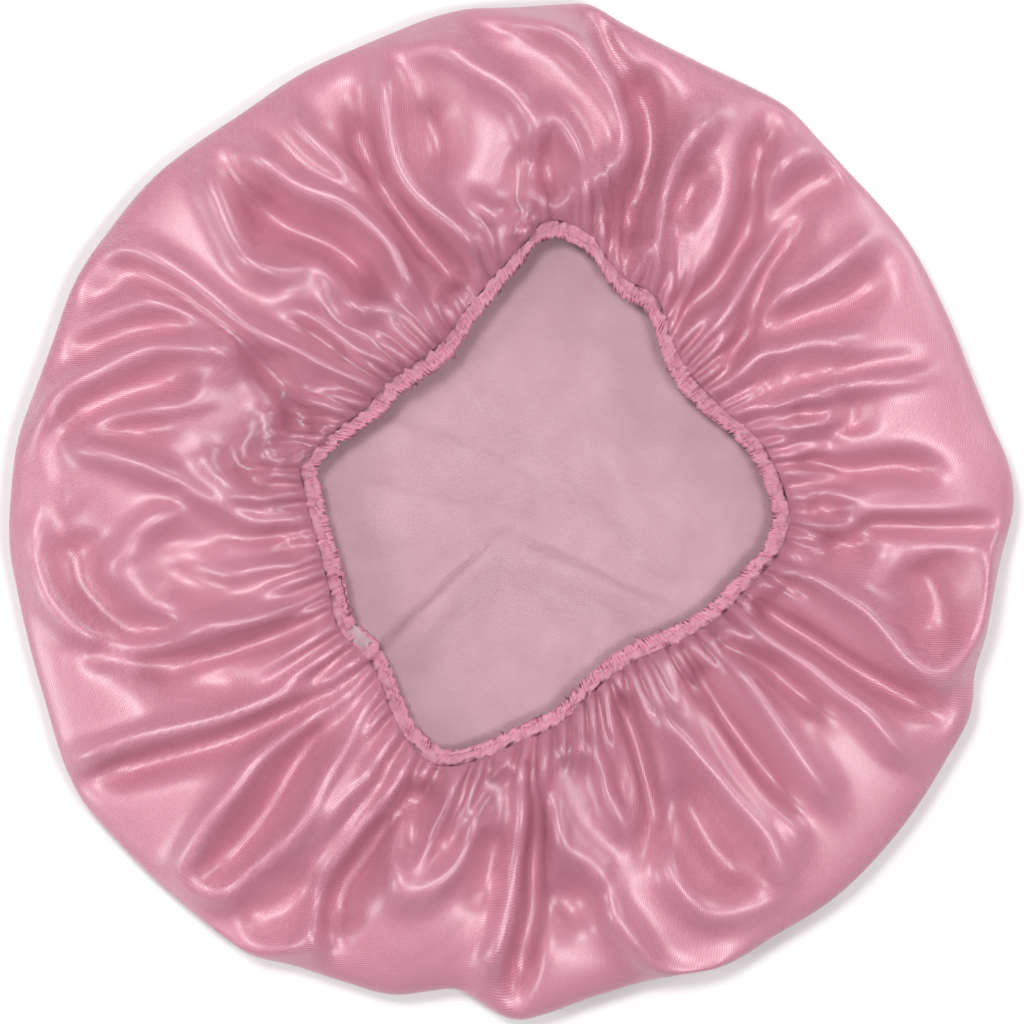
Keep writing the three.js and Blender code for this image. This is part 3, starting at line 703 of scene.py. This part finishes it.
def thread_object(name, paths, radius, material):
    points, faces = [], []
    for path in paths:
        more, quads = tube(path, radius)
        first = sum(map(len, points))
        points.append(more)
        faces += [[first + corner for corner in quad] for quad in quads]
    return mesh_object(name, np.concatenate(points), faces, [material])


def make_stitches(material):
    """Overlock loops that lean across the band's inner half."""
    draw = np.random.default_rng(11)
    paths = []
    places = np.arange(STITCH_COUNT) + draw.uniform(-0.25, 0.25, STITCH_COUNT)
    for at in places * FULL_TURN / STITCH_COUNT:
        lean = draw.uniform(0.5, 1.1)
        steps = ((-0.04, -0.35), (-0.06, 0.5), (0.1, 1.3), (0.35, 1.15), (0.6, 1.5))
        path = []
        for out, up in steps:
            angle = np.array([at + lean * out])
            plan = mouth_plan(angle, BAND_WIDTH * out)[0]
            level = mouth_level(angle)[0] + up * BAND_THICKNESS / 2 - 0.5 * MM
            path.append((*plan, level))
        paths.append(path)
    return thread_object("edge_stitches", paths, STITCH_RADIUS, material)


def make_tab(material):
    """Cut end of the elastic, a ribbed knitted tab that shows on the band."""
    spread_angle = math.degrees(END_LENGTH / 2 / MOUTH_RADIUS)
    places = mouth_plan(END_ANGLE + np.array([-spread_angle, 0, spread_angle]), BAND_WIDTH * 0.4)
    along = places[2] - places[0]
    along /= np.linalg.norm(along)
    aside = np.array([-along[1], along[0]])
    level = mouth_level(np.array([END_ANGLE]))[0] + BAND_THICKNESS / 2
    lengths = np.linspace(-0.5, 0.5, 25)
    widths = np.linspace(-0.5, 0.5, 17)
    draw = np.random.default_rng(9)
    frayed = 1 + draw.uniform(-0.2, 0.05, (2, len(widths)))
    top, bottom = [], []
    for along_share in lengths:
        ragged = END_WIDTH * (TAB["width"] + draw.uniform(-0.05, 0.05))
        for width_share, ends in zip(widths, frayed.T):
            reach = END_LENGTH * along_share * ends[int(along_share > 0)]
            plan = places[1] + along * reach + aside * ragged * width_share
            rib = TAB["rib"] * MM * math.cos(2 * math.pi * TAB["ribs"] * width_share)
            rib += draw.uniform(-0.1, 0.1) * MM
            sag = TAB["tilt"] * MM * width_share
            sag += TAB["sag"] * MM * math.cos(2.5 * math.pi * along_share)
            top.append((*plan, level + END_THICKNESS * 0.6 + sag + rib))
            bottom.append((*plan, level - END_THICKNESS * 0.4 + sag))
    rows, columns = len(lengths), len(widths)
    row, step = np.meshgrid(np.arange(rows - 1), np.arange(columns - 1), indexing="ij")
    corner = (row * columns + step).ravel()
    lid = np.stack([corner, corner + columns, corner + columns + 1, corner + 1], axis=-1)
    total = rows * columns
    border = (
        [(0, step) for step in range(columns)]
        + [(row, columns - 1) for row in range(1, rows)]
        + [(rows - 1, step) for step in reversed(range(columns - 1))]
        + [(row, 0) for row in reversed(range(1, rows - 1))]
    )
    edge = [row * columns + step for row, step in border]
    beside = edge[1:] + edge[:1]
    sides = [(a, b, b + total, a + total) for a, b in zip(edge, beside)]
    faces = [*lid[:, ::-1].tolist(), *(lid + total).tolist(), *sides]
    return mesh_object("elastic_tab", np.array(top + bottom), faces, [material])


def make_thread(material):
    """Loose end of the sewing thread beside the band's left corner."""
    start, end = THREAD_NUB
    line = [np.array(start) + (np.array(end) - start) * share for share in np.linspace(0, 1, 9)]
    wave = [np.array([0.4 * math.sin(3 * place), 0.3 * math.cos(2 * place), 0]) for place in range(9)]
    trail = [(np.array(point) + shift) * MM for point, shift in zip(line, wave)]
    knot = [
        (np.array(start) + (0.5 * math.cos(turn), 0.5 * math.sin(turn), 0.04 * turn)) * MM
        for turn in np.linspace(0, 4 * math.pi, 17)
    ]
    return thread_object("thread_end", [trail, knot], THREAD_RADIUS, material)


class Value:
    """A socket of a shader, so that maths on it reads as plain Python."""

    def __init__(self, paint, socket):
        self.paint = paint
        self.socket = socket

    def maths(self, operation, *others):
        values = dict(enumerate((self, *others)))
        return self.paint.node("ShaderNodeMath", {"operation": operation}, values)

    def __add__(self, other):
        return self.maths("ADD", other)

    def __sub__(self, other):
        return self.maths("SUBTRACT", other)

    def __mul__(self, other):
        return self.maths("MULTIPLY", other)

    __radd__ = __add__
    __rmul__ = __mul__

    def __rsub__(self, other):
        return (self * -1) + other

    def sine(self):
        return self.maths("SINE")


class Paint:
    """Material of one finish; every node in it comes from node()."""

    def __init__(self, name, **constants):
        self.material = bpy.data.materials.new(name)
        self.material.use_nodes = True
        self.tree = self.material.node_tree
        self.surface = self.tree.nodes["Principled BSDF"]
        for socket, value in constants.items():
            self.surface.inputs[socket.replace("_", " ")].default_value = value

    def node(self, kind, settings=None, values=None, output=0):
        made = self.tree.nodes.new(kind)
        for name, setting in (settings or {}).items():
            setattr(made, name, setting)
        for socket, value in (values or {}).items():
            if isinstance(value, Value):
                self.tree.links.new(value.socket, made.inputs[socket])
            else:
                made.inputs[socket].default_value = value
        return Value(self, made.outputs[output])

    def blend(self, factor, first, second):
        return self.node(
            "ShaderNodeMix", {"data_type": "RGBA"}, {0: factor, 6: first, 7: second}, output=2
        )

    def feed(self, socket, value):
        self.tree.links.new(value.socket, self.surface.inputs[socket])

    def bump(self, height, distance, strength=1.0):
        values = {"Strength": strength, "Distance": distance, "Height": height}
        self.feed("Normal", self.node("ShaderNodeBump", {}, values))


def colour(red, green, blue):
    """Linear colour from the sRGB numbers that the eye reads, 0 to 255."""
    def linear(value):
        share = value / 255
        return share / 12.92 if share <= 0.04045 else ((share + 0.055) / 1.055) ** 2.4
    return (linear(red), linear(green), linear(blue), 1.0)


def twill(paint, pitch):
    """Height of the twill line on the flat pattern, from -1 to 1."""
    place = paint.node("ShaderNodeUVMap", {"uv_map": "flat_pattern"})
    x = paint.node("ShaderNodeSeparateXYZ", {}, {0: place}, output=0)
    y = paint.node("ShaderNodeSeparateXYZ", {}, {0: place}, output=1)
    turn = 2 * math.pi / pitch
    return (x * (turn * math.cos(TWILL_ACROSS)) + y * (turn * math.sin(TWILL_ACROSS))).sine()


def satin_outside():
    paint = Paint(
        "pink_satin", Roughness=0.5, IOR=1.8, Specular_IOR_Level=0.8, Coat_Roughness=0.42,
        Coat_IOR=2.0,
    )
    clouds = paint.node("ShaderNodeTexNoise", {}, {"Scale": 14.0, "Detail": 3.0})
    grain = paint.node("ShaderNodeTexNoise", {}, {"Scale": 900.0, "Detail": 2.0})
    threads = twill(paint, TWILL_OUTSIDE)
    tint = clouds * 0.6 + grain * 0.9 + threads * 0.12 - 0.25
    paint.feed("Base Color", paint.blend(tint, colour(210, 102, 136), colour(228, 141, 166)))
    paint.feed("Coat Weight", threads * 0.35 + grain * 1.8 - 0.05)
    paint.bump(threads + grain * 3.0, 0.1 * MM)
    return paint.material


def satin_back():
    paint = Paint("satin_back", Roughness=0.55, Specular_IOR_Level=0.5)
    weave = twill(paint, TWILL_BACK)
    grain = paint.node("ShaderNodeTexNoise", {}, {"Scale": 1300.0, "Detail": 2.0})
    clouds = paint.node("ShaderNodeTexNoise", {}, {"Scale": 22.0, "Detail": 5.0})
    tint = weave * 0.15 + grain * 0.5 + clouds * 0.8
    paint.feed("Base Color", paint.blend(tint, colour(173, 126, 141), colour(207, 167, 177)))
    paint.bump(weave + grain * 2.0, 0.06 * MM)
    return paint.material


def crinkled_edge():
    paint = Paint("gathered_edge", Roughness=0.42, Specular_IOR_Level=0.7, IOR=1.7)
    specks = paint.node("ShaderNodeTexNoise", {}, {"Scale": 900.0, "Detail": 2.0})
    paint.feed("Base Color", paint.blend(specks, colour(188, 98, 128), colour(238, 176, 194)))
    paint.bump(specks, 0.3 * MM, 0.6)
    return paint.material


def sewing_thread(name, tint):
    return Paint(name, Base_Color=tint, Roughness=0.6, Specular_IOR_Level=0.4).material


def knitted_elastic():
    paint = Paint("off_white_elastic", Roughness=0.85, Specular_IOR_Level=0.2)
    specks = paint.node("ShaderNodeTexNoise", {}, {"Scale": 1400.0, "Detail": 2.0})
    paint.feed("Base Color", paint.blend(specks, colour(184, 146, 156), colour(230, 208, 210)))
    paint.bump(specks, 0.2 * MM, 0.7)
    return paint.material


def pale_floor():
    pale = (0.92, 0.92, 0.92, 1)
    return Paint("pale_floor", Base_Color=pale, Roughness=0.9, Specular_IOR_Level=0.1).material


def make_floor():
    corners = [
        (x * FLOOR_HALF, y * FLOOR_HALF, FLOOR_LEVEL) for x, y in ((-1, -1), (1, -1), (1, 1), (-1, 1))
    ]
    floor = mesh_object("floor", corners, [(0, 1, 2, 3)], [pale_floor()])


def make_camera():
    """Straight above, framing the rim as the photograph does."""
    data = bpy.data.cameras.new("camera")
    data.sensor_width = 36
    data.lens = data.sensor_width * (CAMERA_HEIGHT - RIM_HEIGHT) / FRAME_WIDTH
    camera = bpy.data.objects.new("camera", data)
    camera.location = (0, 0, CAMERA_HEIGHT)
    bpy.context.scene.collection.objects.link(camera)
    bpy.context.scene.camera = camera


def make_light(name, spot, power):
    data = bpy.data.lights.new(name, "AREA")
    data.size = LAMP_SIZE
    data.energy = power
    light = bpy.data.objects.new(name, data)
    light.location = spot
    x, y, z = spot
    light.rotation_euler = (math.atan2(math.hypot(x, y), z), 0, math.atan2(x, -y))
    bpy.context.scene.collection.objects.link(light)


def make_lights():
    for name, spot, power in LAMPS:
        make_light(name, spot, power)
    world = bpy.data.worlds.new("studio")
    world.use_nodes = True
    world.node_tree.nodes["Background"].inputs["Color"].default_value = (1, 1, 1, 1)
    world.node_tree.nodes["Background"].inputs["Strength"].default_value = ROOM_LIGHT
    bpy.context.scene.world = world
    bpy.context.scene.view_settings.view_transform = "Standard"


def place(piece, node, slot):
    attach(piece, "root")
    if node:
        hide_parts(node)


make_camera()
make_floor()
crown = make_crown(satin_outside(), satin_back())
place(crown, "crown", "satin")
place(make_band(crinkled_edge()), "elastic_band", "gathered_edge")
place(make_stitches(sewing_thread("pink_thread", colour(228, 150, 176))), None, "gathered_edge")
place(make_tab(knitted_elastic()), "elastic_end", "elastic")
place(make_thread(sewing_thread("dark_thread", colour(120, 62, 78))), None, "gathered_edge")
make_lights()
